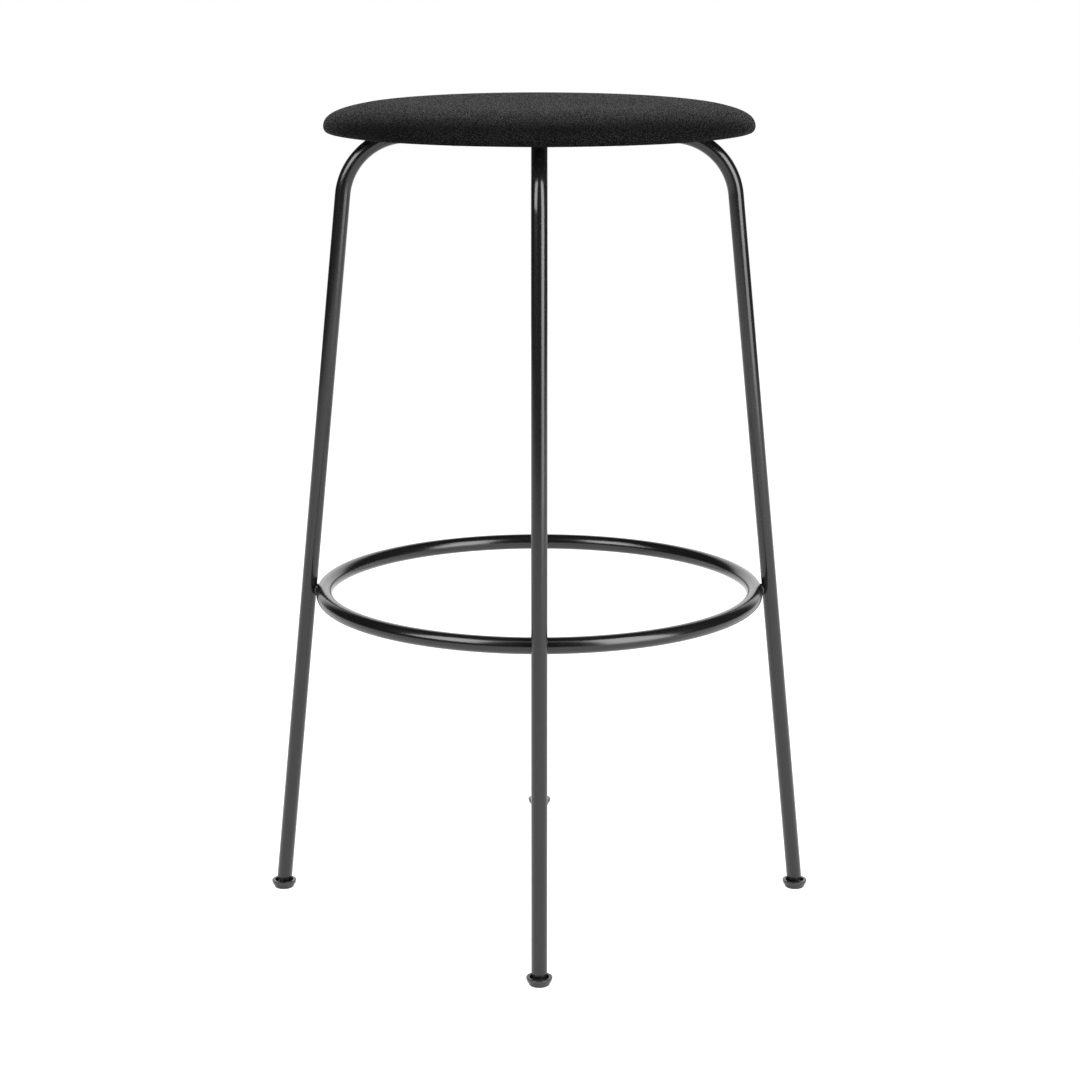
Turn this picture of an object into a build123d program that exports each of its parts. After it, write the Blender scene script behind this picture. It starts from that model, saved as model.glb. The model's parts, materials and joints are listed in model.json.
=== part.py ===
from build123d import *
import math
import os

# Round bar stool with a footrest ring. Four bent steel tubes meet at a block under an upholstered seat,
# and each one ends in a glide that tilts on a ball so that its sole lies flat on the floor.
#
# Millimetres. The origin is on the floor below the middle of the seat, and +Z is up.
# Every leg lies in an upright plane through the Z axis, turned about it by the leg's angle.

leg_angles = {"front": -90, "right": 0, "rear": 90, "left": 180}
leg_count = len(leg_angles)
fit_gap = 0.05  # radial room of a plug in its tube, a ball in its socket and a screw in its nut

# ---- steel tube and legs
tube_radius = 7.0
tube_wall = 1.2
leg_radius_at_floor = 243.0  # where the leg's straight axis would meet the floor
leg_splay = 5.80  # degrees from upright
leg_bend_radius = 59.0
leg_run_height = 708.8  # axis of the level run under the seat

# ---- block that the legs are welded to
hub_half_width = 16.0
hub_height = 13.4
hub_chamfer = 2.0
hub_weld_radius = 9.2  # of each bead where it meets the block
hub_weld_length = 2.6
hub_weld_height = 12.0  # the beads run up the sides only, and the top and bottom stay flat

# ---- footrest
ring_tube_radius = 7.4
ring_height = 291.0
ring_weld_gap = 0.15
ring_weld_radius = 4.9

# ---- glides
ball_height = 4.6
ball_radius = 2.6
neck_radius = 1.5
stud_radius = 2.0
stud_length = 18.0  # from the ball's centre
glide_tilt = 10.0  # degrees either side of the leg's axis
tube_end = 3.6  # from the ball's centre, along the leg
insert_start = 3.8  # from the ball's centre, along the leg
insert_length = 22.5  # from the ball's centre
insert_lead_in = 0.6
flange_radius = 11.4
flange_top = 7.6
flange_bottom = 3.6
flange_rim = 1.0  # height of the upright edge
flange_draft = 0.8  # how far the flange narrows below its upright edge
flange_top_fillet = 0.5
flange_bottom_fillet = 0.5
mouth_gap = 0.25  # room round the neck at full tilt
socket_radius = 4.6
socket_top = 7.0
recess_radius = 8.4  # the flange is hollow round the socket, so that the tube's end can dip into it
recess_floor = 6.5
pocket_floor = 5.0
pocket_edge = 0.2  # between a pocket and the walls of the recess
pocket_rib = 3.2
sole_radius = 9.2
sole_floor = 1.2
sole_fillet = 1.9
groove_radius = 8.0
groove_height = 0.6
hub_radius = 4.2

# ---- seat
seat_height = 740.0
seat_radius = 192.5
widest_height = 718.1
rim_height = 713.1
rim_width = 2.8
crown_across = 4.74  # powers of the dome's outline: higher is flatter on top and squarer at the edge
crown_up = 2.37
cover_thickness = 1.2
fold_inner_radius = 150.0
fold_outer_radius = 183.0
board_radius = 186.0
board_thickness = 9.0
board_bottom = 716.4
board_fillet = 2.0
dust_thickness = 0.5
dust_radius = 165.0
dust_hole_gap = 0.5

# ---- fasteners
screw_circle = 75.0
screw_radius = 3.0
screw_hole_radius = 3.4
screw_head_radius = 5.0
screw_head_height = 2.0
screw_head_fillet = 0.8
screw_tip_height = 723.9
hex_key_radius = 1.9
hex_key_depth = 1.3
washer_radius = 7.0
washer_thickness = 0.8
washer_gap = 0.2
nut_flange_radius = 9.0
nut_flange_thickness = 1.4
nut_barrel_radius = 4.0
nut_bottom = 716.9
staple_wire = 0.7
staple_crown = 10.0
staple_width = 1.2
staple_depth = 6.0
cover_staple_circle = 173.0
cover_staple_count = 40
dust_staple_circle = 158.0
dust_staple_count = 28

# ---- worked out
tube_bore = tube_radius - tube_wall
splay = math.radians(leg_splay)
washer_top = leg_run_height - tube_radius - fit_gap
screw_head_top = washer_top - washer_thickness
board_top = board_bottom + board_thickness
fold_bottom = board_bottom - cover_thickness
leg_radius_at_ring = leg_radius_at_floor - ring_height * math.tan(splay)
ring_radius = leg_radius_at_ring - tube_radius / math.cos(splay) - ring_weld_gap - ring_tube_radius
ball_offset = leg_radius_at_floor - ball_height * math.tan(splay)


def outward(angle):
    """The level direction from the middle towards the leg at this angle."""
    return Vector(math.cos(math.radians(angle)), math.sin(math.radians(angle)), 0)


def leg_plane(angle):
    """The upright plane of a leg: local X points outward and local Y up."""
    return Plane(origin=(0, 0, 0), x_dir=outward(angle), z_dir=outward(angle - 90))


def leg_direction(angle):
    """Up along the straight part of a leg."""
    return Vector(0, 0, math.cos(splay)) - outward(angle) * math.sin(splay)


def on_leg(angle, height):
    """The point of a leg's straight axis at this height."""
    return outward(angle) * (leg_radius_at_floor - height * math.tan(splay)) + Vector(0, 0, height)


def ball_plane(angle):
    """A plane through a glide's ball: local X is across the leg and local Y up along the leg's axis."""
    across = outward(angle) * math.cos(splay) + Vector(0, 0, math.sin(splay))
    return Plane(origin=on_leg(angle, ball_height), x_dir=across, z_dir=outward(angle - 90))


def glide_plane(angle):
    """A plane through a glide's ball and its upright axis, with local Y = 0 on the floor."""
    return Plane(origin=outward(angle) * ball_offset, x_dir=outward(angle), z_dir=outward(angle - 90))


def save(part, name):
    part.label = name
    export_step(part, f"parts/{name}.step")


# ============================================================ frame
def make_leg(angle):
    """A tube that runs level under the seat, bends down and slopes outward to the floor."""
    corner = leg_radius_at_floor - leg_run_height * math.tan(splay)
    foot_height = ball_height + tube_end * math.cos(splay)
    foot = leg_radius_at_floor - foot_height * math.tan(splay)
    with BuildPart() as leg:
        with BuildLine(leg_plane(angle)) as axis:
            FilletPolyline(
                (hub_half_width, leg_run_height),
                (corner, leg_run_height),
                (foot, foot_height),
                radius=leg_bend_radius,
            )
        with BuildSketch(Plane(origin=axis.line @ 0, z_dir=axis.line % 0)):
            Circle(tube_radius)
            Circle(tube_bore, mode=Mode.SUBTRACT)
        sweep()
        with BuildSketch(Plane.XY.offset(leg_run_height - 2 * tube_radius)):
            with PolarLocations(screw_circle, 1, start_angle=angle):
                Circle(screw_hole_radius)
        extrude(amount=4 * tube_radius, mode=Mode.SUBTRACT)
    return leg.part


def make_hub_block():
    """The square block that the ends of the four level runs are welded to."""
    with BuildPart() as block:
        with BuildSketch(Plane.XY.offset(leg_run_height - hub_height / 2)):
            Rectangle(2 * hub_half_width, 2 * hub_half_width)
        extrude(amount=hub_height)
        chamfer(block.edges().filter_by(Axis.Z), length=hub_chamfer)
    return block.part


def make_hub_welds():
    """Two beads for each leg, up the sides of its end where it meets the block."""
    with BuildPart() as welds:
        for angle in leg_angles.values():
            start = outward(angle) * hub_half_width + Vector(0, 0, leg_run_height)
            across = Plane(origin=start, x_dir=outward(angle + 90), z_dir=outward(angle))
            with BuildSketch(across):
                Circle(hub_weld_radius)
            with BuildSketch(across.offset(hub_weld_length)):
                Circle(tube_radius)
            loft()
        for angle in leg_angles.values():
            start = outward(angle) * hub_half_width + Vector(0, 0, leg_run_height)
            with BuildSketch(Plane(origin=start, z_dir=outward(angle))):
                Circle(tube_radius)
            extrude(amount=2 * hub_weld_length, mode=Mode.SUBTRACT)
        with BuildSketch(Plane.XY.offset(leg_run_height - hub_weld_height / 2)):
            Rectangle(4 * hub_half_width, 4 * hub_half_width)
        extrude(amount=hub_weld_height, mode=Mode.INTERSECT)
    return welds.part


def make_footrest_ring():
    """A hoop of tube that touches the inner side of every leg."""
    with BuildPart() as ring:
        with BuildSketch(Plane.XZ):
            with Locations((ring_radius, ring_height)):
                Circle(ring_tube_radius)
                Circle(ring_tube_radius - tube_wall, mode=Mode.SUBTRACT)
        revolve(axis=Axis.Z)
    return ring.part


def make_footrest_welds():
    """A bead at each crossing, filling the corners between the ring and the leg."""
    with BuildPart() as welds:
        for angle in leg_angles.values():
            start = outward(angle) * ring_radius + Vector(0, 0, ring_height)
            with BuildSketch(Plane(origin=start, z_dir=outward(angle))):
                Circle(ring_weld_radius)
            extrude(amount=leg_radius_at_ring - ring_radius)
        with BuildSketch(Plane.XZ):
            with Locations((ring_radius, ring_height)):
                Circle(ring_tube_radius)
        revolve(axis=Axis.Z, mode=Mode.SUBTRACT)
        for angle in leg_angles.values():
            below = on_leg(angle, ring_height - 3 * tube_radius)
            with BuildSketch(Plane(origin=below, z_dir=leg_direction(angle))):
                Circle(tube_radius)
            extrude(amount=6 * tube_radius, mode=Mode.SUBTRACT)
    return welds.part


# ============================================================ glides
def make_insert(angle):
    """A plastic plug pressed into the tube's end, which holds the stud."""
    plane = ball_plane(angle)
    plug_radius = tube_bore - fit_gap
    hole_radius = stud_radius + fit_gap
    with BuildPart() as insert:
        with BuildSketch(plane):
            with BuildLine():
                Polyline(
                    (hole_radius, insert_start),
                    (plug_radius, insert_start),
                    (plug_radius, insert_length - 3 * insert_lead_in),
                    (plug_radius - insert_lead_in, insert_length),
                    (0, insert_length),
                    (0, stud_length + fit_gap),
                    (hole_radius, stud_length + fit_gap),
                    close=True,
                )
            make_face()
        revolve(axis=Axis(plane.origin, plane.y_dir))
    return insert.part


def make_ball_stud(angle):
    """A steel ball on a neck, with a shank that is held in the insert."""
    plane = ball_plane(angle)
    neck_start = math.sqrt(ball_radius**2 - neck_radius**2)
    shank_start = insert_start - fit_gap
    with BuildPart() as stud:
        with BuildSketch(plane):
            with BuildLine():
                ball = ThreePointArc((0, -ball_radius), (ball_radius, 0), (neck_radius, neck_start))
                Polyline(
                    ball @ 1,
                    (neck_radius, shank_start - 0.5),
                    (stud_radius, shank_start),
                    (stud_radius, stud_length),
                    (0, stud_length),
                    ball @ 0,
                )
            make_face()
        revolve(axis=Axis(plane.origin, plane.y_dir))
    return stud.part


def make_glide_base(angle):
    """The tilting foot: a flange, hollow round a ball socket that four ribs hold."""
    plane = glide_plane(angle)
    tilt = math.radians(glide_tilt)
    mouth_low = neck_radius / math.cos(tilt) + mouth_gap
    mouth_top = mouth_low + (socket_top - ball_height) * math.tan(tilt)
    with BuildPart() as base:
        with BuildSketch(plane):
            with BuildLine():
                Polyline(
                    (0, sole_floor),
                    (hub_radius, sole_floor),
                    (hub_radius, flange_bottom),
                    (flange_radius - flange_draft, flange_bottom),
                    (flange_radius, flange_top - flange_rim),
                    (flange_radius, flange_top),
                    (recess_radius, flange_top),
                    (recess_radius, recess_floor),
                    (socket_radius, recess_floor),
                    (socket_radius, socket_top),
                    (0, socket_top),
                    close=True,
                )
            make_face()
        revolve(axis=Axis(plane.origin, (0, 0, 1)))
        rim = base.edges().filter_by(GeomType.CIRCLE)
        flange_edges = rim.filter_by(lambda e: e.radius > sole_radius).sort_by(Axis.Z)
        fillet(rim.group_by(Axis.Z)[-1], radius=flange_top_fillet)
        fillet(flange_edges[0], radius=flange_bottom_fillet)
        with BuildSketch(plane):
            with Locations((0, ball_height)):
                Circle(ball_radius + fit_gap)
                Rectangle(
                    4 * ball_radius,
                    4 * ball_radius,
                    align=(Align.MAX, Align.CENTER),
                    mode=Mode.SUBTRACT,
                )
        revolve(axis=Axis(plane.origin, (0, 0, 1)), mode=Mode.SUBTRACT)
        with BuildSketch(plane):
            with BuildLine():
                Polyline(
                    (0, ball_height),
                    (mouth_low, ball_height),
                    (mouth_top, socket_top),
                    (0, socket_top),
                    close=True,
                )
            make_face()
        revolve(axis=Axis(plane.origin, (0, 0, 1)), mode=Mode.SUBTRACT)
        floor = Plane(
            origin=outward(angle) * ball_offset + Vector(0, 0, recess_floor),
            x_dir=outward(angle),
        )
        with BuildSketch(floor):
            Circle(recess_radius - pocket_edge)
            Circle(socket_radius + pocket_edge, mode=Mode.SUBTRACT)
            for turn in (45, 135):
                Rectangle(3 * recess_radius, pocket_rib, rotation=turn, mode=Mode.SUBTRACT)
        extrude(amount=pocket_floor - recess_floor, mode=Mode.SUBTRACT)
    return base.part


def make_glide_sole(angle):
    """The plastic pad that meets the floor."""
    plane = glide_plane(angle)
    with BuildPart() as sole:
        with BuildSketch(plane):
            with BuildLine():
                Polyline(
                    (0, 0),
                    (sole_radius, 0),
                    (sole_radius, flange_bottom - groove_height),
                    (groove_radius, flange_bottom - groove_height),
                    (groove_radius, flange_bottom),
                    (hub_radius + fit_gap, flange_bottom),
                    (hub_radius + fit_gap, sole_floor),
                    (0, sole_floor),
                    close=True,
                )
            make_face()
        revolve(axis=Axis(plane.origin, (0, 0, 1)))
        fillet(sole.edges().filter_by(GeomType.CIRCLE).sort_by(Axis.Z)[0], radius=sole_fillet)
    return sole.part


# ============================================================ seat
def crown_point(turn, inset):
    """A point of the dome's outline, from the middle (0 degrees) to the widest place (90 degrees)."""
    across = (seat_radius - inset) * math.sin(math.radians(turn)) ** (2 / crown_across)
    up = (seat_height - inset - widest_height) * math.cos(math.radians(turn)) ** (2 / crown_up)
    return (across, widest_height + up)


def make_pad(inset, under):
    """The whole upholstered pad, drawn in by an inset, with its level underside at the height under."""
    crown = [crown_point(turn, inset) for turn in range(0, 90, 10)] + [(seat_radius - inset, widest_height)]
    rim_centre = seat_radius - rim_width
    with BuildPart() as pad:
        with BuildSketch(Plane.XZ):
            with BuildLine():
                top = Spline(crown, tangents=((1, 0), (0, -1)))
                rim = EllipticalCenterArc(
                    (rim_centre, widest_height),
                    rim_width - inset,
                    widest_height - rim_height - inset,
                    start_angle=270,
                    arc_size=90,
                )
                Polyline((rim_centre, rim_height + inset), (fold_outer_radius, under), (0, under), top @ 0)
            make_face()
        revolve(axis=Axis.Z)
    return pad.part


def make_staples(circle, count, crown_top):
    """Staples driven up through the underside, with their crowns lying along a circle."""
    with BuildPart() as staples:
        with BuildSketch(Plane.XY.offset(crown_top - staple_wire)):
            with PolarLocations(circle, count):
                Rectangle(staple_width, staple_crown)
        extrude(amount=staple_wire)
        with BuildSketch(Plane.XY.offset(crown_top)):
            with PolarLocations(circle, count):
                for side in (-1, 1):
                    with Locations((0, side * (staple_crown - staple_wire) / 2)):
                        Rectangle(staple_width, staple_wire)
        extrude(amount=staple_depth)
    return staples.part


def make_t_nuts():
    """Flanged nuts let into the top of the board, over the screws."""
    with BuildPart() as nuts:
        with BuildSketch(Plane.XY.offset(nut_bottom)):
            with PolarLocations(screw_circle, leg_count):
                Circle(nut_barrel_radius)
        extrude(amount=board_top - nut_bottom)
        with BuildSketch(Plane.XY.offset(board_top - nut_flange_thickness)):
            with PolarLocations(screw_circle, leg_count):
                Circle(nut_flange_radius)
        extrude(amount=nut_flange_thickness)
        with BuildSketch(Plane.XY.offset(nut_bottom)):
            with PolarLocations(screw_circle, leg_count):
                Circle(screw_radius + fit_gap)
        extrude(amount=board_top - nut_bottom, mode=Mode.SUBTRACT)
    return nuts.part


def make_blank():
    """The board before it is drilled: a disc with its upper edge rounded."""
    with BuildPart() as blank:
        with BuildSketch(Plane.XY.offset(board_bottom)):
            Circle(board_radius)
        extrude(amount=board_thickness)
        fillet(blank.edges().group_by(Axis.Z)[-1], radius=board_fillet)
    return blank.part


def make_seat_board(blank, staples):
    """A plywood disc with holes for the nuts, the screws and the staples' legs."""
    with BuildPart() as board:
        add(blank)
        with BuildSketch(Plane.XY.offset(board_bottom)):
            with PolarLocations(screw_circle, leg_count):
                Circle(nut_barrel_radius + fit_gap)
        extrude(amount=board_thickness, mode=Mode.SUBTRACT)
        with BuildSketch(Plane.XY.offset(board_top)):
            with PolarLocations(screw_circle, leg_count):
                Circle(nut_flange_radius + fit_gap)
        extrude(amount=-nut_flange_thickness, mode=Mode.SUBTRACT)
        add(staples, mode=Mode.SUBTRACT)
    return board.part


def make_seat_foam(core, blank):
    """Foam over the board and round its edge."""
    with BuildPart() as foam:
        add(core)
        add(blank, mode=Mode.SUBTRACT)
    return foam.part


def make_seat_cover(skin, core, staples):
    """The leather, pulled over the foam and folded flat under the board's edge."""
    with BuildPart() as cover:
        add(skin)
        add(core, mode=Mode.SUBTRACT)
        with BuildSketch(Plane.XY.offset(rim_height)):
            Circle(fold_inner_radius)
        extrude(amount=board_bottom - rim_height, mode=Mode.SUBTRACT)
        add(staples, mode=Mode.SUBTRACT)
    return cover.part


def make_dust_cover(staples):
    """Black cloth that closes the underside, stepped where it passes over the leather's fold."""
    step = fold_inner_radius - 2 * fit_gap
    with BuildPart() as dust:
        with BuildSketch(Plane.XZ):
            with BuildLine():
                Polyline(
                    (0, board_bottom),
                    (step, board_bottom),
                    (step, fold_bottom),
                    (dust_radius, fold_bottom),
                    (dust_radius, fold_bottom - dust_thickness),
                    (step - dust_thickness, fold_bottom - dust_thickness),
                    (step - dust_thickness, board_bottom - dust_thickness),
                    (0, board_bottom - dust_thickness),
                    close=True,
                )
            make_face()
        revolve(axis=Axis.Z)
        with BuildSketch(Plane.XY.offset(rim_height)):
            with PolarLocations(screw_circle, leg_count):
                Circle(nut_barrel_radius + dust_hole_gap)
        extrude(amount=board_bottom - rim_height, mode=Mode.SUBTRACT)
        add(staples, mode=Mode.SUBTRACT)
    return dust.part


def make_seat_screws():
    """Pan-head screws with a hexagon socket, up through the legs into the nuts."""
    with BuildPart() as screws:
        with BuildSketch(Plane.XY.offset(screw_head_top - screw_head_height)):
            with PolarLocations(screw_circle, leg_count):
                Circle(screw_head_radius)
        extrude(amount=screw_head_height)
        fillet(screws.edges().group_by(Axis.Z)[0], radius=screw_head_fillet)
        with BuildSketch(Plane.XY.offset(screw_head_top)):
            with PolarLocations(screw_circle, leg_count):
                Circle(screw_radius)
        extrude(amount=screw_tip_height - screw_head_top)
        with BuildSketch(Plane.XY.offset(screw_head_top - screw_head_height)):
            with PolarLocations(screw_circle, leg_count):
                RegularPolygon(hex_key_radius, 6)
        extrude(amount=hex_key_depth, mode=Mode.SUBTRACT)
    return screws.part


def make_seat_washers():
    """Flat washers between the screw heads and the legs."""
    with BuildPart() as washers:
        with BuildSketch(Plane.XY.offset(screw_head_top)):
            with PolarLocations(screw_circle, leg_count):
                Circle(washer_radius)
                Circle(screw_radius + washer_gap, mode=Mode.SUBTRACT)
        extrude(amount=washer_thickness)
    return washers.part


# ============================================================ build every piece
os.makedirs("parts", exist_ok=True)

save(make_hub_block(), "hub_block")
save(make_hub_welds(), "hub_welds")
save(make_footrest_ring(), "footrest_ring")
save(make_footrest_welds(), "footrest_welds")
for side, angle in leg_angles.items():
    save(make_leg(angle), f"leg_{side}")
    save(make_insert(angle), f"tube_insert_{side}")
    save(make_ball_stud(angle), f"ball_stud_{side}")
    save(make_glide_base(angle), f"glide_base_{side}")
    save(make_glide_sole(angle), f"glide_sole_{side}")

cover_staples = make_staples(cover_staple_circle, cover_staple_count, fold_bottom)
dust_staples = make_staples(dust_staple_circle, dust_staple_count, fold_bottom - dust_thickness)
with BuildPart() as all_staples:
    add(cover_staples)
    add(dust_staples)
skin = make_pad(0, fold_bottom)
core = make_pad(cover_thickness, board_bottom)
blank = make_blank()

save(cover_staples, "cover_staples")
save(dust_staples, "dust_cover_staples")
save(make_seat_board(blank, all_staples.part), "seat_board")
save(make_seat_foam(core, blank), "seat_foam")
save(make_seat_cover(skin, core, all_staples.part), "seat_cover")
save(make_dust_cover(dust_staples), "dust_cover")
save(make_t_nuts(), "t_nuts")
save(make_seat_screws(), "seat_screws")
save(make_seat_washers(), "seat_washers")
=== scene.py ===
# %% [markdown]
# # A bar stool with a ring footrest
#
# Four bent steel tubes carry a round padded seat. A hoop of steel tube ties the legs together and
# takes the sitter's feet, and every leg ends in a small glide that tilts on a ball. The engineering model
# already holds each part in its true place, so it is loaded as a fixed frame, and this lesson gives the
# stool its looks: enamelled tube, weld beads, stretched leather and moulded plastic.
# Lengths are in metres, +Z is up, and the front of the stool faces -Y.

# %% Load the engineering model
import bisect
import json
import math

import bmesh
import bpy
from mathutils import Matrix, Vector, noise


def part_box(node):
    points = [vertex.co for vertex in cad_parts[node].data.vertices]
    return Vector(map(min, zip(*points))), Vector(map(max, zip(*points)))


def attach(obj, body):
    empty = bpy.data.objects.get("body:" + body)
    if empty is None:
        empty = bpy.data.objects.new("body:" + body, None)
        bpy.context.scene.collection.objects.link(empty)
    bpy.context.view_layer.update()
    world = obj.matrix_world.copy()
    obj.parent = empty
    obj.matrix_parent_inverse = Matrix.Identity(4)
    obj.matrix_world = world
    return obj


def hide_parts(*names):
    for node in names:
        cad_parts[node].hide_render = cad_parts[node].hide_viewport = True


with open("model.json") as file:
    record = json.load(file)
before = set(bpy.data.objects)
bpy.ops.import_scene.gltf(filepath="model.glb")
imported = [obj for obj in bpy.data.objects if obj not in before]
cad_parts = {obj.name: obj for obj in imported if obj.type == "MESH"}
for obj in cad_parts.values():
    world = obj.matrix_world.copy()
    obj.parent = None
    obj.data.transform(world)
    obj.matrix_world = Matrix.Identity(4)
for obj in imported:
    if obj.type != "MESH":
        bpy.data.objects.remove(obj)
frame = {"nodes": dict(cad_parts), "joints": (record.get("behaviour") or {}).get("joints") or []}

scene = bpy.context.scene
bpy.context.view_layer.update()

# %% [markdown]
# ## Measures
#
# Anything that can be read off the engineering model is read off it, so that a new piece lands exactly
# where the old one was. A tube bender works from three more numbers that no box can give: how far a leg
# leans, how tightly it is bent and how thick its wall is.

# %% Measures read off the frame
ring_low, ring_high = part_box("footrest_ring")
hoop_radius = (ring_high.z - ring_low.z) / 2
ring_height = (ring_high.z + ring_low.z) / 2
ring_radius = ring_high.x - hoop_radius
tube_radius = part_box("leg_right")[1].y
block_low, block_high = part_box("hub_block")
run_height = (block_low.z + block_high.z) / 2
leg_low, leg_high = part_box("leg_right")
run_start = leg_low.x
pivots = {joint["child"]: Vector(joint["pos_m"]) for joint in frame["joints"]}
ball_reach = pivots["glide_right"].x
ball_height = pivots["glide_right"].z
sides = {"front": -90, "right": 0, "rear": 90, "left": 180}
print(f"leg tube {tube_radius * 2000:.1f} mm, hoop tube {hoop_radius * 2000:.1f} mm across")

# %% Measures that only the bender knows
leg_lean = math.radians(5.8)
bend_radius = 0.059
tube_wall = 0.0012
bend_turn = math.radians(90) - leg_lean
corner_reach = ball_reach - (run_height - ball_height) * math.tan(leg_lean)
bend_start = corner_reach - bend_radius * math.tan(bend_turn / 2)
foot_height = leg_low.z + tube_radius * math.sin(leg_lean)
print(f"the bend starts {bend_start * 1000:.1f} mm from the middle")

# %% [markdown]
# ## A short way to write materials
#
# A material is a web of nodes, and a sum of two values is a Math node with two wires. Written out, even a
# small finish fills a page. So one small class holds a wire and turns Python's own sums into Math nodes,
# and one method makes every other node: it takes the node's type, its settings, and what goes in at each
# of its sockets.

# %% Wires that can be added and multiplied
class Wire:
    """A value on its way through a web of nodes."""

    def __init__(self, web, socket):
        self.web = web
        self.socket = socket

    def sum_node(self, operation, *values):
        return self.web.node("Math", {"operation": operation}, dict(enumerate(values)))

    def __add__(self, other):
        return self.sum_node("ADD", self, other)

    def __sub__(self, other):
        return self.sum_node("SUBTRACT", self, other)

    def __rsub__(self, other):
        return self.sum_node("SUBTRACT", other, self)

    def __mul__(self, other):
        return self.sum_node("MULTIPLY", self, other)

    __radd__ = __add__
    __rmul__ = __mul__

# %% A web of nodes, and the one method that adds to it
class Web:
    """The nodes of a material or of the studio's surroundings."""

    def __init__(self, tree):
        self.tree = tree

    def join(self, value, socket):
        if isinstance(value, Wire):
            self.tree.links.new(value.socket, socket)
        else:
            socket.default_value = value

    def node(self, kind, settings, sockets, out=0):
        """Adds a node, sets it up, fills its sockets, and gives the wire from one of its outputs."""
        made = self.tree.nodes.new("ShaderNode" + kind)
        for name, value in settings.items():
            setattr(made, name, value)
        for name, value in sockets.items():
            self.join(value, made.inputs[name])
        return Wire(self, made.outputs[out])

    def step_up(self, value, low, high):
        """0 below low, 1 above high, and a smooth rise between them."""
        ends = {"Value": value, "From Min": low, "From Max": high}
        return self.node("MapRange", {"interpolation_type": "SMOOTHSTEP"}, ends)

    def blend(self, share, first, second):
        """One colour fading into another."""
        return self.node("Mix", {"data_type": "RGBA"}, {0: share, 6: first, 7: second}, 2)

# %% A finish, which is a material with its main shader at hand
class Finish(Web):
    """A material. Plain values go straight on the shader, and wires join it later."""

    def __init__(self, name, values):
        self.material = bpy.data.materials.new(name)
        self.material.use_nodes = True
        super().__init__(self.material.node_tree)
        self.shader = self.tree.nodes["Principled BSDF"]
        for socket, value in values.items():
            self.set(socket, value)

    def set(self, socket, value):
        self.join(value, self.shader.inputs[socket])

    def place(self):
        """Where a point lies on the object, in metres."""
        return self.node("TexCoord", {}, {}, "Object")

    def speckle(self, place, scale, detail=2.0, roughness=0.5):
        """Soft random spots, about one for every 1/scale metres."""
        sockets = {"Vector": place, "Scale": scale, "Detail": detail, "Roughness": roughness}
        return self.node("TexNoise", {}, sockets)

    def relief(self, height, depth):
        """Raises and sinks the surface by depth metres as height goes from 0 to 1."""
        self.set("Normal", self.node("Bump", {}, {"Height": height, "Distance": depth}))

def grey(value):
    return (value, value, value, 1.0)

# %% [markdown]
# ## Black enamel on the steel
#
# The frame is powder coated in gloss black. The powder melts into a thick, deep skin that is almost a
# black mirror, but never a perfect one: it keeps a very slight orange peel, a few hundredths of a
# millimetre high and a few millimetres across, which makes the edges of a reflection waver. Where shoes
# rub, the gloss turns a little duller. A flat black would show none of this, so the gloss and the height
# of the skin both vary, and the colour hardly does.

# %% The enamel
def make_enamel():
    enamel = Finish("black_enamel", {"IOR": 1.52})
    place = enamel.place()
    haze = enamel.speckle(place, 14, detail=4)
    dust = enamel.step_up(enamel.speckle(place, 900, detail=3), 0.66, 0.8)
    enamel.set("Base Color", enamel.blend(dust * 0.5 + haze * 0.1, grey(0.004), grey(0.03)))
    enamel.set("Roughness", 0.16 + haze * 0.07 + dust * 0.1)
    peel = enamel.speckle(place, 240, detail=1.5)
    enamel.relief(peel, 0.000008)
    return enamel.material

enamel = make_enamel()
print("made", enamel.name)

# %% [markdown]
# ## Bending a leg
#
# A real leg is one straight tube pulled round a former. In mesh terms that is a circle drawn along a
# path. A curve with a bevel could do it, but a mesh made the way the bender works gives full control of
# the end and of the number of faces in the bend: the circle is extruded along the level run, spun round
# the former's centre, and extruded again down to the foot. One leg is made and turned about the middle
# of the stool four times. Solidify then gives the tube its wall, so that its cut ends look cut.

# %% Helpers for bmesh work
def picked(items, kind):
    """The vertices, edges or faces among the things that an operator made."""
    return [item for item in items if isinstance(item, kind)]

def turn_all(bm, degrees, axis):
    matrix = Matrix.Rotation(math.radians(degrees), 3, axis)
    bmesh.ops.rotate(bm, verts=bm.verts, cent=(0, 0, 0), matrix=matrix)

def push_on(bm, edges, way):
    """Extrudes an open rim by a vector and gives back the new rim."""
    made = bmesh.ops.extrude_edge_only(bm, edges=edges)["geom"]
    bmesh.ops.translate(bm, verts=picked(made, bmesh.types.BMVert), vec=way)
    return [edge for edge in picked(made, bmesh.types.BMEdge) if edge.is_boundary]

def corners_of(edges):
    return list({corner for edge in edges for corner in edge.verts})

# %% Helper that turns a bmesh into a piece of the stool
def make_piece(bm, name, finish, body, slot, *replaced):
    """Closes the work on a bmesh: a smooth object at the origin that moves with a body of the frame."""
    mesh = bpy.data.meshes.new(name)
    bm.to_mesh(mesh)
    bm.free()
    mesh.shade_smooth()
    mesh.materials.append(finish)
    piece = bpy.data.objects.new(name, mesh)
    scene.collection.objects.link(piece)
    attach(piece, body)
    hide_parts(*replaced)
    print(f"{name}: {len(mesh.polygons)} faces")
    return piece

# %% The shape of one leg
tube_sides = 48
bend_steps = 28

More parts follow.
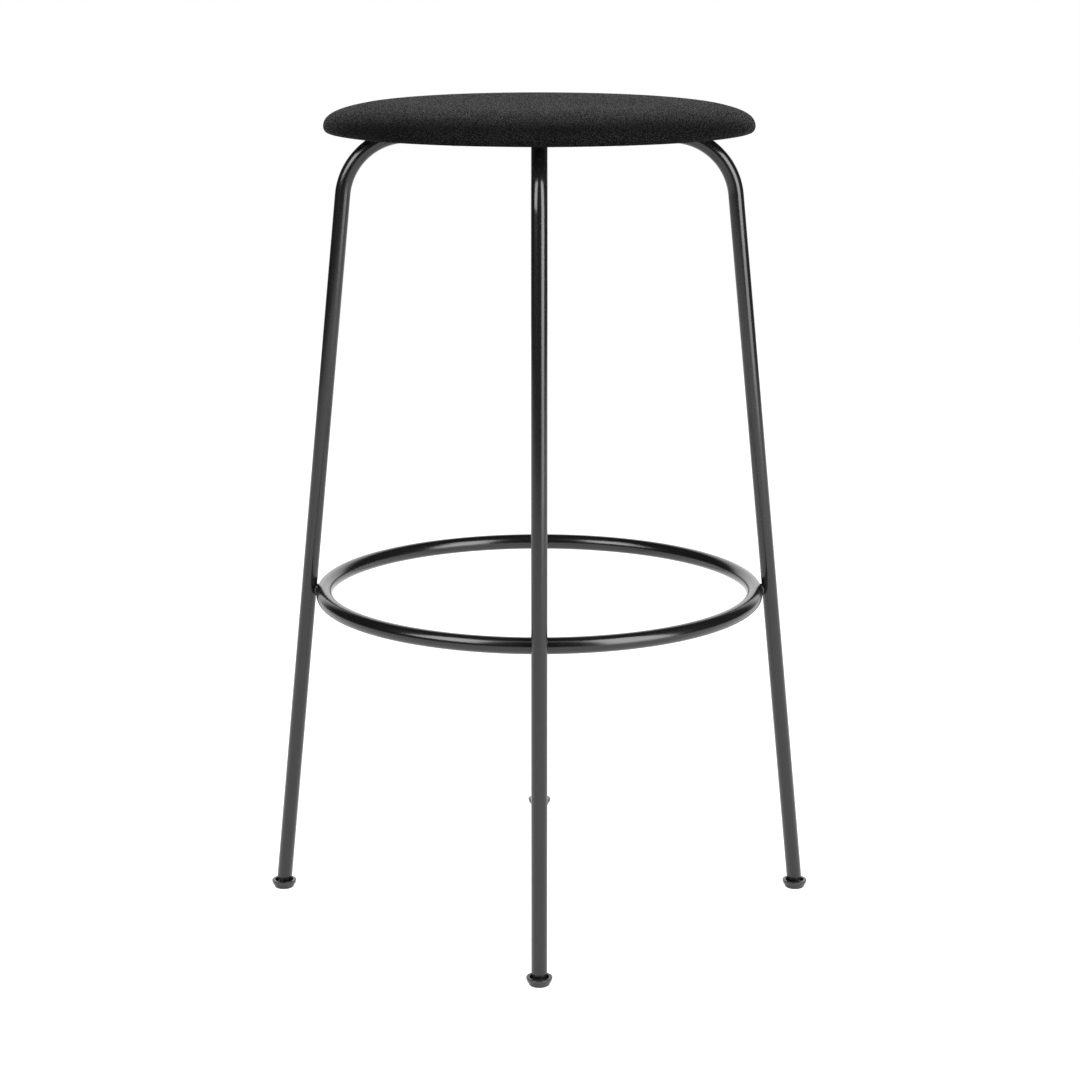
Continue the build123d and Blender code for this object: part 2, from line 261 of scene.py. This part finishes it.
def bend_leg():
    bm = bmesh.new()
    bmesh.ops.create_circle(bm, segments=tube_sides, radius=tube_radius)
    turn_all(bm, 90, "Y")
    bmesh.ops.translate(bm, verts=bm.verts, vec=(run_start, 0, run_height))
    rim = push_on(bm, bm.edges[:], (bend_start - run_start, 0, 0))
    centre = (bend_start, 0, run_height - bend_radius)
    turn = {"cent": centre, "axis": (0, 1, 0), "angle": bend_turn, "steps": bend_steps}
    last = bmesh.ops.spin(bm, geom=corners_of(rim) + rim, **turn)["geom_last"]
    rim = picked(last, bmesh.types.BMEdge)
    middle = sum((corner.co for corner in corners_of(rim)), Vector()) / tube_sides
    rest = (middle.z - foot_height) / math.cos(leg_lean)
    push_on(bm, rim, (rest * math.sin(leg_lean), 0, -rest * math.cos(leg_lean)))
    bmesh.ops.recalc_face_normals(bm, faces=bm.faces)
    return bm

# %% Four legs
def add_wall(piece):
    wall = piece.modifiers.new("wall", "SOLIDIFY")
    wall.thickness = tube_wall
    wall.offset = -1
    wall.use_even_offset = True
    soft_edge = piece.modifiers.new("cut edge", "BEVEL")
    soft_edge.width = 0.00025
    soft_edge.segments = 2
    soft_edge.limit_method = "ANGLE"
    soft_edge.angle_limit = math.radians(50)

for side, degrees in sides.items():
    bm = bend_leg()
    turn_all(bm, degrees, "Z")
    leg = make_piece(bm, f"leg_tube_{side}", enamel, "frame", "black_paint", f"leg_{side}")
    add_wall(leg)

shift = max(abs(corner - old) for corner, old in zip(leg.bound_box[0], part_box("leg_left")[0]))
print(f"the new left leg's low corner is within {shift * 1000:.2f} mm of the old one")

# %% [markdown]
# ## The footrest hoop
#
# The hoop is a slightly thicker tube, rolled into a circle and welded shut, and the seam is ground flush
# before it is painted. A circle spun once round the stool's axis makes it, with its last ring merged into
# its first so that no seam is left in the mesh. Its wall can't be seen, so it stays a single skin.

# %% The hoop
hoop_steps = 192

def roll_hoop():
    bm = bmesh.new()
    bmesh.ops.create_circle(bm, segments=tube_sides, radius=hoop_radius)
    turn_all(bm, 90, "X")
    bmesh.ops.translate(bm, verts=bm.verts, vec=(ring_radius, 0, ring_height))
    turn = {"cent": (0, 0, 0), "axis": (0, 0, 1), "angle": math.radians(360), "steps": hoop_steps}
    bmesh.ops.spin(bm, geom=bm.verts[:] + bm.edges[:], use_merge=True, **turn)
    bmesh.ops.recalc_face_normals(bm, faces=bm.faces)
    return bm

hoop = make_piece(roll_hoop(), "footrest_hoop", enamel, "frame", "black_paint", "footrest_ring")

# %% [markdown]
# ## Weld beads
#
# A weld is a row of small frozen puddles, each overlapping the last, about one and a half millimetres
# apart. Under enamel the ripples are softened but still catch the light. At the hoop the welder runs
# once round the place where the two tubes touch, so the bead is a small ring that dips and climbs with the
# gap between the tubes. Under the seat the four level runs end on a steel block. There the beads climb the
# sides of each tube only, because the top has to stay flat for the seat.

# %% A bead round each crossing of hoop and leg
bead_reach = 0.0043
bead_radius = 0.00135
bead_steps = 64
leg_reach_at_ring = ball_reach - (ring_height - ball_height) * math.tan(leg_lean)

def gap_middle(across, up):
    """How far out from the stool's middle the gap between hoop and leg has its middle."""
    hoop_skin = ring_radius + math.sqrt(hoop_radius**2 - up**2) - across**2 / (2 * ring_radius)
    leg_skin = leg_reach_at_ring - up * math.tan(leg_lean)
    leg_skin -= math.sqrt(tube_radius**2 - across**2) / math.cos(leg_lean)
    return (hoop_skin + leg_skin) / 2

def ring_bead():
    bm = bmesh.new()
    bmesh.ops.create_circle(bm, segments=14, radius=bead_radius)
    bmesh.ops.translate(bm, verts=bm.verts, vec=(0, bead_reach, 0))
    turn = {"cent": (0, 0, 0), "axis": (1, 0, 0), "angle": math.radians(360), "steps": bead_steps}
    bmesh.ops.spin(bm, geom=bm.verts[:] + bm.edges[:], use_merge=True, **turn)
    for corner in bm.verts:
        x, y, z = corner.co
        round_it = math.atan2(z, y)
        line = Vector((0, math.cos(round_it), math.sin(round_it))) * bead_reach
        puddle = 1 + 0.09 * math.sin(16 * round_it) + 0.06 * noise.noise(line * 900)
        corner.co = line + (corner.co - line) * puddle
        corner.co.x += gap_middle(line.y, line.z)
        corner.co.z += ring_height
    bmesh.ops.recalc_face_normals(bm, faces=bm.faces)
    return bm

# %% Four of them in one piece
def gathered(parts, degrees_each):
    """Several bmeshes, each turned about the stool's axis, as one."""
    whole = bmesh.new()
    for part, degrees in zip(parts, degrees_each):
        turn_all(part, degrees, "Z")
        mesh = bpy.data.meshes.new("part")
        part.to_mesh(mesh)
        part.free()
        whole.from_mesh(mesh)
        bpy.data.meshes.remove(mesh)
    return whole

beads = gathered([ring_bead() for side in sides], sides.values())
make_piece(beads, "hoop_weld_beads", enamel, "frame", "black_paint", "footrest_welds")

# %% Beads up the sides of each tube's end, where it meets the block
seam_reach = tube_radius + 0.0002
seam_radius = 0.0017
seam_steps = 26
seam_turn = math.radians(112)

def side_bead(side_sign):
    """A bead bent round one side of a tube's end. Its ends are drawn in, and ripples run along it."""
    bm = bmesh.new()
    bmesh.ops.create_circle(bm, cap_ends=True, segments=14, radius=seam_radius)
    turn_all(bm, 90, "X")
    turn_all(bm, 90, "Y")
    bmesh.ops.translate(bm, verts=bm.verts, vec=(0, seam_reach, 0))
    turn = Matrix.Rotation(-seam_turn / 2, 3, "X")
    bmesh.ops.rotate(bm, verts=bm.verts, cent=(0, 0, 0), matrix=turn)
    turn = {"cent": (0, 0, 0), "axis": (1, 0, 0), "angle": seam_turn, "steps": seam_steps}
    bmesh.ops.spin(bm, geom=bm.verts[:] + bm.edges[:] + bm.faces[:], **turn)
    for corner in bm.verts:
        round_it = math.atan2(corner.co.z, corner.co.y)
        line = Vector((0, math.cos(round_it), math.sin(round_it))) * seam_reach
        ends = min(1.0, (1.02 - abs(round_it) / (seam_turn / 2)) / 0.16)
        ripple = 1 + 0.09 * math.sin(34 * round_it) + 0.06 * noise.noise(line * 900)
        corner.co = line + (corner.co - line) * math.sqrt(max(ends, 0.02)) * ripple
        corner.co.y *= side_sign
        corner.co += Vector((run_start + 0.0006, 0, run_height))
    bmesh.ops.recalc_face_normals(bm, faces=bm.faces)
    return bm

seams = [side_bead(sign) for side in sides for sign in (-1, 1)]
beads = gathered(seams, [degrees for degrees in sides.values() for sign in (-1, 1)])
make_piece(beads, "block_weld_beads", enamel, "frame", "black_paint", "hub_welds")

# %% [markdown]
# ## The padded seat
#
# The seat is a plywood disc with foam glued over it, and one piece of leather is pulled down over both,
# turned under the edge and stapled. Nothing sewn shows, so the shape is all in the stretch: almost flat on
# top, turning over faster and faster towards the edge, with a small soft roll below it. A spun outline
# would give a perfect lathe shape with its faces pinched at the middle. Here a square grid is bent into a
# disc instead, which keeps the faces even for the cloth, and its edge is then extruded round the roll and
# under the board. The cloth simulation starts from a slightly smaller shape, blown up from inside by
# the foam, and held where it is stapled. Left free it swells by more than a centimetre, far past the
# outline, so only about a millimetre of its push is kept, a tenth more or less. The outline and the
# unevenness below make the shape, and the cloth has a very small say in it.

# %% The outline that the leather is pulled to
cover_low, cover_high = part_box("seat_cover")
board_low, board_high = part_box("seat_board")
seat_radius = cover_high.x
widest_height = 0.7181
across_power = 2 / 4.74
up_power = 2 / 2.37
roll_width = 0.0028
fold_height = board_low.z - 0.0012

def dome(turn):
    """A point of the dome's outline, from its middle (0) to its widest place (a quarter turn)."""
    across = seat_radius * math.sin(turn) ** across_power
    return (across, widest_height + (cover_high.z - widest_height) * math.cos(turn) ** up_power)

dome_steps = 600
outline = [dome(math.pi / 2 * (step / dome_steps) ** 3) for step in range(dome_steps + 1)]
outline[-1] = (seat_radius, widest_height)
travelled = [0.0]
for here, there in zip(outline, outline[1:]):
    travelled.append(travelled[-1] + math.dist(here, there))
print(f"from the middle to the edge the leather covers {travelled[-1] * 1000:.1f} mm")

# %% A square grid bent into a dome
def dome_at(share):
    """The outline at a share of the way along it, measured over the leather."""
    goal = share * travelled[-1]
    index = min(max(bisect.bisect_left(travelled, goal), 1), len(travelled) - 1)
    before, after = Vector(outline[index - 1]), Vector(outline[index])
    gap = travelled[index] - travelled[index - 1]
    return before.lerp(after, (goal - travelled[index - 1]) / gap)

def crown_grid(cells):
    bm = bmesh.new()
    bmesh.ops.create_grid(bm, x_segments=cells, y_segments=cells, size=1)
    for corner in bm.verts:
        x, y, z = corner.co
        flat = Vector((x * math.sqrt(1 - y * y / 2), y * math.sqrt(1 - x * x / 2), 0))
        across, up = dome_at(min(flat.length, 1))
        corner.co = flat.normalized() * across + Vector((0, 0, up))
    return bm

# %% The roll, the turned-under fold and the recess for the board
recess = 0.00005
fold_edge = 0.15
soft_corner = 0.0004
board_edge = board_high.x + recess
board_bottom = board_low.z
board_top = board_high.z + recess
roll = [math.radians(turn) for turn in (15, 30, 45, 60, 75, 90)]
under_the_edge = [
    (
        seat_radius - roll_width * (1 - math.cos(turn)),
        widest_height - (widest_height - cover_low.z) * math.sin(turn),
    )
    for turn in roll
]
under_the_edge += [(0.1865, cover_low.z + 0.0009), (0.183, fold_height), (0.1785, fold_height)]
under_the_edge += [(0.174, fold_height), (0.169, fold_height), (0.16, fold_height)]
under_the_edge += [(fold_edge + 0.0005, fold_height), (fold_edge, fold_height + soft_corner)]
under_the_edge += [(fold_edge, board_bottom - 0.0001), (fold_edge + 0.0005, board_bottom)]
under_the_edge += [(0.168, board_bottom), (board_edge - soft_corner, board_bottom)]
under_the_edge += [(board_edge, board_bottom + soft_corner), (board_edge, board_top - soft_corner)]
under_the_edge += [(board_edge - soft_corner, board_top), (0.12, board_top), (0.02, board_top)]

def finish_pad(bm):
    rim = [edge for edge in bm.edges if edge.is_boundary]
    for across, up in under_the_edge:
        made = bmesh.ops.extrude_edge_only(bm, edges=rim)["geom"]
        for corner in picked(made, bmesh.types.BMVert):
            corner.co.z = 0
            corner.co = corner.co.normalized() * across + Vector((0, 0, up))
        rim = [edge for edge in picked(made, bmesh.types.BMEdge) if edge.is_boundary]
    bmesh.ops.recalc_face_normals(bm, faces=bm.faces)
    return bm

grid_cells = 96
pad_bm = finish_pad(crown_grid(grid_cells))
print("the pad has", len(pad_bm.faces), "faces before the cloth is blown up")

# %% Where the leather is held, and how it puckers between the staples
staples_round = 40

def held(point):
    """1 where the leather is fixed, 0 where it is free, and between them on the way round the roll."""
    across = math.hypot(point.x, point.y)
    if point.z > board_top + 0.0001:
        return 0.0
    if point.z > widest_height - 0.0004:
        return 0.0 if across > board_edge + 0.001 else 1.0
    return min(1.0, max(0.0, (0.1915 - across) / 0.007))

def pucker(point):
    """Down between the staples and up at each of them, strongest where they are."""
    across = math.hypot(point.x, point.y)
    if point.z > widest_height - 0.001 or across < 0.166 or point.z > fold_height + 0.0003:
        return 0.0
    between = math.sin(math.atan2(point.y, point.x) * staples_round / 2) ** 2
    near = max(0.0, 1 - abs(across - 0.1765) / 0.013)
    return -0.00035 * between * near

# %% Blow the pad up
start_inset = 0.0010
least_swelling = 0.0009
most_swelling = 0.0011
cloth_frames = 20

def unevenness(point):
    """Hand-stretched leather is never quite even: a tenth or two of a millimetre over a hand's width."""
    return 0.00010 * noise.noise(point * 14) + 0.00003 * noise.noise(point * 45)

def shrink(bm):
    bm.normal_update()
    moves = [corner.normal * (unevenness(corner.co) - start_inset) for corner in bm.verts]
    for corner, move in zip(bm.verts, moves):
        free = 1 - held(corner.co)
        corner.co += move * free + Vector((0, 0, pucker(corner.co)))

def swell(pad):
    """Runs the cloth simulation and keeps from the least to the most swelling of its push."""
    group = pad.vertex_groups.new(name="held")
    starts = [corner.co.copy() for corner in pad.data.vertices]
    outwards = [corner.normal.copy() for corner in pad.data.vertices]
    for index, start in enumerate(starts):
        group.add([index], held(start), "REPLACE")
    cloth = pad.modifiers.new("cloth", "CLOTH")
    cloth.settings.quality = 5
    cloth.settings.mass = 0.3
    cloth.settings.tension_stiffness = 15
    cloth.settings.compression_stiffness = 15
    cloth.settings.shear_stiffness = 10
    cloth.settings.bending_stiffness = 20
    cloth.settings.use_pressure = True
    cloth.settings.uniform_pressure_force = 4
    cloth.settings.effector_weights.gravity = 0
    cloth.settings.vertex_group_mass = group.name
    cloth.collision_settings.use_collision = False
    for number in range(1, cloth_frames + 1):
        scene.frame_set(number)
    blown = pad.evaluated_get(bpy.context.evaluated_depsgraph_get()).data
    moves = [end.co - start for start, end in zip(starts, blown.vertices)]
    for corner, start, outward, move in zip(pad.data.vertices, starts, outwards, moves):
        free = 1 - held(start)
        lift = min(max(move.dot(outward), least_swelling), most_swelling)
        corner.co = start + outward * lift * free
    pad.modifiers.remove(cloth)
    pad.vertex_groups.remove(group)
    scene.frame_set(1)
    furthest = max(move.length for move in moves)
    print(f"the cloth moved up to {furthest * 1000:.2f} mm and was kept to {most_swelling * 1000:.2f} mm")

# %% One subdivision, and the last hole closed after it
def smooth_and_close(pad):
    """Subdivides once. The hole over the board has hundreds of sides, and a face like that is slow to
    subdivide, so it is filled afterwards."""
    smoother = pad.modifiers.new("smooth", "SUBSURF")
    smoother.levels = 1
    smoother.render_levels = 1
    rounded = pad.evaluated_get(bpy.context.evaluated_depsgraph_get())
    rounded = bpy.data.meshes.new_from_object(rounded)
    pad.modifiers.remove(smoother)
    pad.data = rounded
    bm = bmesh.new()
    bm.from_mesh(rounded)
    bmesh.ops.holes_fill(bm, edges=[edge for edge in bm.edges if edge.is_boundary], sides=0)
    bm.to_mesh(rounded)
    bm.free()
    print("the pad has", len(rounded.polygons), "faces when it is smooth")

# %% [markdown]
# ## The leather
#
# It is a corrected leather in matt black: a pebble grain pressed into a dull finish that hardly mirrors
# at all. The pebbles are about two millimetres across, flat on top, with narrow creases between them.
# A cell pattern gives the pebbles, bent by soft noise so that no two match, and the top of each is
# smoother than the creases, so that the grain shows as sparkle. Its colour is also painted darker in the
# creases and lighter on the tops of the pebbles, a painted shade and a painted sheen. The creases are
# deeper than on real leather, because from across a room true ones would vanish.

# %% The leather finish
pebbles_per_metre = 500
crease_depth = 0.0009

def make_leather():
    leather = Finish("black_leather_grain", {"IOR": 1.45, "Specular IOR Level": 0.03})
    place = leather.place()
    drift = leather.node("TexNoise", {}, {"Vector": place, "Scale": 350, "Detail": 2.0}, 1)
    centred = leather.node("VectorMath", {"operation": "SUBTRACT"}, {0: drift, 1: (0.5, 0.5, 0.5)})
    small = leather.node("VectorMath", {"operation": "SCALE"}, {0: centred, "Scale": 0.0011})
    bent = leather.node("VectorMath", {"operation": "ADD"}, {0: place, 1: small})
    cells = {"Vector": bent, "Scale": pebbles_per_metre}
    crease = leather.node("TexVoronoi", {"feature": "DISTANCE_TO_EDGE"}, cells)
    pebble_and_painted_shade = leather.step_up(crease, 0.0, 0.22)
    fine = leather.speckle(place, 2600, detail=2)
    cloud = leather.speckle(place, 22, detail=3)
    # The colour is painted shade and painted sheen: darker in the creases and lighter on the tops of the
    # pebbles, with a random cloud of tone over it.
    leather.set("Base Color", leather.blend(pebble_and_painted_shade * 0.7 + cloud * 0.3, grey(0.0005), grey(0.0115)))
    leather.set("Roughness", 0.80 - pebble_and_painted_shade * 0.40 + cloud * 0.05)
    leather.relief(pebble_and_painted_shade + fine * 0.20, crease_depth)
    return leather.material

leather = make_leather()
print("made", leather.name)

# %% The finished seat pad
shrink(pad_bm)
replaced = ("seat_cover", "seat_foam")
pad = make_piece(pad_bm, "seat_pad", leather, "frame", "black_leather", *replaced)
swell(pad)
smooth_and_close(pad)

# %% [markdown]
# ## Plastic, steel, board and cloth
#
# The small parts keep the engineering model's shapes, which are already right, and each gets the finish
# of its own stuff. The glides are moulded: a satin skin with faint flow clouds on the tilting foot, and a
# duller, softer plastic on the sole that meets the floor. Screws, washers and staples are zinc plated,
# which shows as a patchy, slightly blue-grey shine. The board is birch plywood, and the underside is
# closed with a black felted cloth, pressed with a fine grid of dots that holds its fibres together.

# %% Moulded plastics
def make_plastic(name, dark, light, gloss, grain_depth):
    plastic = Finish(name, {"IOR": 1.49})
    place = plastic.place()
    flow = plastic.speckle(place, 120, detail=3)
    grain = plastic.speckle(place, 3500, detail=2)
    plastic.set("Base Color", plastic.blend(flow * 0.8 + grain * 0.2, grey(dark), grey(light)))
    plastic.set("Roughness", gloss + flow * 0.08 + grain * 0.04)
    plastic.relief(grain, grain_depth)
    return plastic.material

foot_plastic = make_plastic("glide_foot_plastic", 0.014, 0.024, 0.17, 0.00001)
sole_plastic = make_plastic("glide_sole_plastic", 0.020, 0.032, 0.42, 0.00003)
plug_plastic = make_plastic("tube_plug_plastic", 0.006, 0.011, 0.34, 0.00002)

# %% Zinc-plated steel
def make_zinc():
    zinc = Finish("zinc_plate", {"Metallic": 1.0})
    place = zinc.place()
    patch = zinc.speckle(place, 700, detail=4, roughness=0.6)
    blend = zinc.blend(patch, (0.52, 0.54, 0.57, 1), (0.72, 0.72, 0.70, 1))
    zinc.set("Base Color", blend)
    zinc.set("Roughness", 0.22 + patch * 0.2)
    zinc.relief(patch, 0.00001)
    return zinc.material

# %% Birch plywood
def make_plywood():
    wood = Finish("birch_plywood", {"IOR": 1.45})
    place = wood.place()
    stretched = wood.node("Mapping", {}, {"Vector": place, "Scale": (6, 90, 90)})
    grain = wood.speckle(stretched, 4, detail=6, roughness=0.6)
    fleck = wood.speckle(stretched, 26, detail=2)
    wood.set("Base Color", wood.blend(grain, (0.62, 0.44, 0.26, 1), (0.45, 0.29, 0.15, 1)))
    wood.set("Roughness", 0.62 + fleck * 0.12)
    wood.relief(fleck, 0.00008)
    return wood.material

# %% Felted cloth for the underside
def make_felt():
    felt = Finish("black_felted_cloth", {"IOR": 1.4})
    place = felt.place()
    long_way = felt.node("Mapping", {}, {"Vector": place, "Scale": (300, 2600, 1)})
    cross_way = felt.node("Mapping", {}, {"Vector": place, "Scale": (2600, 300, 1)})
    fibres = felt.speckle(long_way, 1, detail=3) + felt.speckle(cross_way, 1, detail=3)
    wave = {"wave_profile": "SIN", "bands_direction": "X"}
    rows = felt.node("TexWave", wave, {"Vector": place, "Scale": 200.0}, 1)
    wave = {"wave_profile": "SIN", "bands_direction": "Y"}
    lines = felt.node("TexWave", wave, {"Vector": place, "Scale": 200.0}, 1)
    dot = felt.step_up(rows * lines, 0.45, 0.8)
    felt.set("Base Color", felt.blend(fibres * 0.5, grey(0.006), grey(0.028)))
    felt.set("Roughness", 0.92 - dot * 0.2)
    felt.relief(fibres * 0.5 - dot * 0.8, 0.00015)
    return felt.material

# %% Dress the parts that keep their shapes
def dress(finish, *names):
    for name in names:
        for place in frame["nodes"][name].material_slots:
            place.material = finish
    print(finish.name, "on", ", ".join(names))

zinc = make_zinc()
dress(enamel, "hub_block")
dress(zinc, "seat_screws", "seat_washers", "t_nuts", "cover_staples", "dust_cover_staples")
dress(zinc, *[f"ball_stud_{side}" for side in sides])
dress(foot_plastic, *[f"glide_base_{side}" for side in sides])
dress(sole_plastic, *[f"glide_sole_{side}" for side in sides])
dress(plug_plastic, *[f"tube_insert_{side}" for side in sides])
dress(make_plywood(), "seat_board")
dress(make_felt(), "dust_cover")

# %% [markdown]
# ## The studio
#
# Gloss black has no look of its own: it only shows what stands round it. So the studio is built like a
# product photographer's table. The floor and the wall behind are white. Softboxes stand in front, one
# side each, and draw the long bright lines down the legs. The right one is a stack of four panels that
# gets dimmer towards the floor, and the left one hangs above a dark gap, so the two lines differ. A dim
# strip hangs over the front for the seat. Everything else in front is dark, which keeps the black black.

# %% A pale floor
floor_finish = Finish("pale_floor", {"Base Color": grey(0.33), "Roughness": 1.0})
floor_finish.set("Specular IOR Level", 0.0)
floor_finish.set("Emission Color", grey(1.0))
floor_finish.set("Emission Strength", 0.92)
bm = bmesh.new()
bmesh.ops.create_circle(bm, cap_ends=True, segments=96, radius=3.5)
floor_mesh = bpy.data.meshes.new("floor")
bm.to_mesh(floor_mesh)
bm.free()
floor_mesh.materials.append(floor_finish.material)
floor = bpy.data.objects.new("floor", floor_mesh)
scene.collection.objects.link(floor)

# %% Softboxes
side_angle = 49
distance = 2.3
width = 1.55

def add_softbox(name, azimuth, low, high, brightness):
    """An upright panel of light that faces the stool. Azimuth 0 is the front and 90 the right."""
    angle = math.radians(azimuth)
    away = Vector((math.sin(angle), -math.cos(angle), 0))
    light = bpy.data.lights.new(name, "AREA")
    light.shape = "RECTANGLE"
    light.size = width
    light.size_y = high - low
    light.energy = brightness * math.pi * width * (high - low)
    panel = bpy.data.objects.new(name, light)
    panel.location = away * distance + Vector((0, 0, (low + high) / 2))
    panel.rotation_euler = away.to_track_quat("Z", "Y").to_euler()
    panel.visible_camera = False
    scene.collection.objects.link(panel)
    return panel

add_softbox("softbox_right", side_angle, 0.60, 4.4, 8.0)
add_softbox("softbox_right_lower", side_angle, 0.40, 0.60, 6.2)
add_softbox("softbox_right_skirt", side_angle, 0.20, 0.40, 4.3)
add_softbox("softbox_right_foot", side_angle, 0.02, 0.20, 4.2)
add_softbox("softbox_left", -side_angle, 1.08, 4.4, 8.0)

# %% A dim strip overhead
strip_place = Vector((0, -1.2, 3.0))
strip_goal = Vector((0, 0, 0.7))
strip_brightness = 2.0
strip = bpy.data.lights.new("overhead_strip", "AREA")
strip.shape = "RECTANGLE"
strip.size = 1.6
strip.size_y = 0.45
strip.energy = strip_brightness * math.pi * strip.size * strip.size_y
strip_panel = bpy.data.objects.new("overhead_strip", strip)
strip_panel.location = strip_place
strip_panel.rotation_euler = (strip_place - strip_goal).to_track_quat("Z", "Y").to_euler()
strip_panel.visible_camera = False
scene.collection.objects.link(strip_panel)

# %% The surroundings: white to the camera, and a white wall behind with a dark room in front. What is
# mirrored of the wall is brighter above the horizon, where it lights the tops of level tubes.
scene.world = bpy.data.worlds.new("studio")
scene.world.use_nodes = True
room = Web(scene.world.node_tree)
backdrop = room.tree.nodes["Background"]
way = room.node("TexCoord", {}, {}, "Generated")
back_share = room.node("SeparateXYZ", {}, {"Vector": way}, "Y")
up_share = room.node("SeparateXYZ", {}, {"Vector": way}, "Z")
wall = room.step_up(back_share, 0.70, 0.85) * (1 - room.step_up(up_share, 0.5, 0.8))
glow = 1 + room.step_up(up_share, 0.0, 0.15) * 0.55
seen = room.node("LightPath", {}, {}, "Is Camera Ray")
mirrored = room.node("LightPath", {}, {}, "Is Glossy Ray")
plain = 1 - seen - mirrored
room.join(seen + mirrored * (wall * glow * 0.99 + 0.01) + plain * 0.35, backdrop.inputs["Strength"])
backdrop.inputs["Color"].default_value = grey(1.0)
scene.view_settings.view_transform = "Standard"

# %% The camera
camera = bpy.data.objects.new("camera", bpy.data.cameras.new("camera"))
camera.data.lens = 89.5
camera.data.sensor_width = 36
camera.location = (0.0006, -2.4154, 0.8933)
camera.rotation_euler = (math.radians(77.055), 0, 0)
scene.collection.objects.link(camera)
scene.camera = camera
